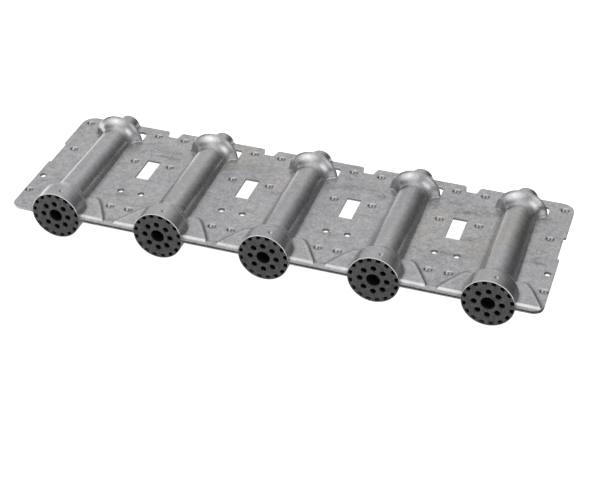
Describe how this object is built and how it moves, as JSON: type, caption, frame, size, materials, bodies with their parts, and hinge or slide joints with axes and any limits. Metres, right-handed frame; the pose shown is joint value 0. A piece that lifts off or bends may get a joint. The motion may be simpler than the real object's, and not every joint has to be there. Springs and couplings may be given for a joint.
{
  "type": "in-shot gas burner assembly",
  "caption": "Row of in-shot gas burners pressed from two sheet shells, with crossover channels between the cups, open bells, orifice collars and perforated flame inserts.",
  "frame": {"origin": "on the axis of the middle burner, at the rear mouth of its orifice collar, in the plane where the two shells meet", "axes": "+X along the row, to the right when looking at the flame face with the upper shell up; +Y along the burner axes from the flame end to the gas inlet end; +Z out of the upper shell"},
  "size_m": [0.375, 0.1266, 0.0366],
  "materials": {
    "aluminised_sheet": "pressed coated steel sheet, dull satin with rubbed marks",
    "sintered_insert": "matte dark sintered metal"
  },
  "bodies": {
    "root": {"upper_shell": "aluminised_sheet", "lower_shell": "aluminised_sheet", "flame_insert_1": "sintered_insert", "flame_insert_2": "sintered_insert", "flame_insert_3": "sintered_insert", "flame_insert_4": "sintered_insert", "flame_insert_5": "sintered_insert"}
  },
  "joints": []
}
